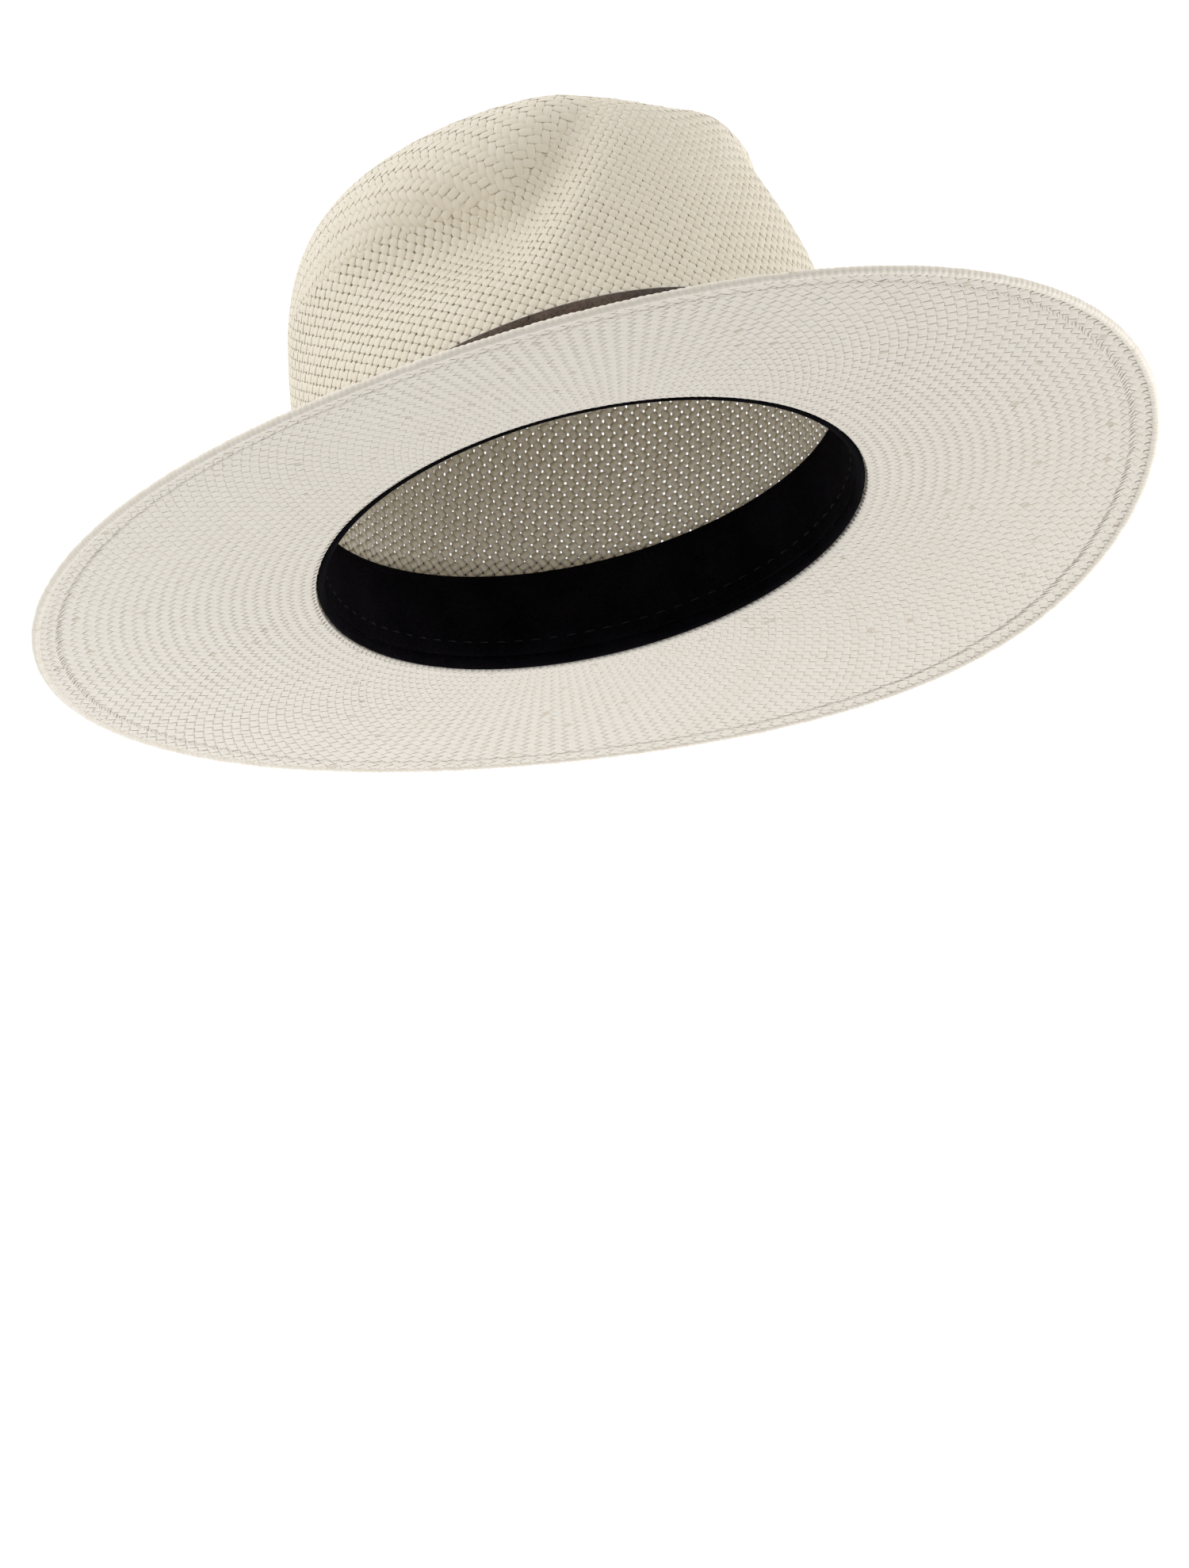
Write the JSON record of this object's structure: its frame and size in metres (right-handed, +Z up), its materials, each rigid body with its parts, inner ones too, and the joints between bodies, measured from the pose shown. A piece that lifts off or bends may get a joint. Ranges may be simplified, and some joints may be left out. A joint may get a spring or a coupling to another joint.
{
  "type": "wide-brimmed straw hat",
  "caption": "Wide-brimmed woven straw hat with a teardrop crown pinched at the front, a dark suede band and a black sweatband round its open head cavity.",
  "frame": {"origin": "centre of the oval head opening, in the plane where the crown meets the brim", "axes": "+Z up the crown, -Y towards the wearer's front, +X towards the wearer's left"},
  "size_m": [0.3518, 0.41, 0.1517],
  "materials": {
    "straw": "woven straw, warm ivory, satin",
    "brim_straw": "finely woven straw, pale ivory, satin",
    "edge_straw": "whipped straw, tan-beige, satin",
    "cord": "plain monofilament",
    "suede": "dark brown suede, matt nap",
    "band_thread": "dark thread",
    "sweatband_cloth": "black cloth-faced sweatband, matt",
    "sweatband_tape": "black woven tape",
    "reed": "plain plastic reed",
    "sweatband_thread": "black polyester thread"
  },
  "bodies": {
    "root": {"crown_side": "straw", "crown_tip": "straw", "straw_brim": "brim_straw", "brim_edge": "edge_straw", "brim_cord": "cord", "hat_band": "suede", "band_keeper": "suede", "band_tacks": "band_thread", "sweatband": "sweatband_cloth", "sweatband_seam_tape": "sweatband_tape", "sweatband_reed": "reed", "reed_tape": "sweatband_tape", "sweatband_stitches": "sweatband_thread"}
  },
  "joints": []
}
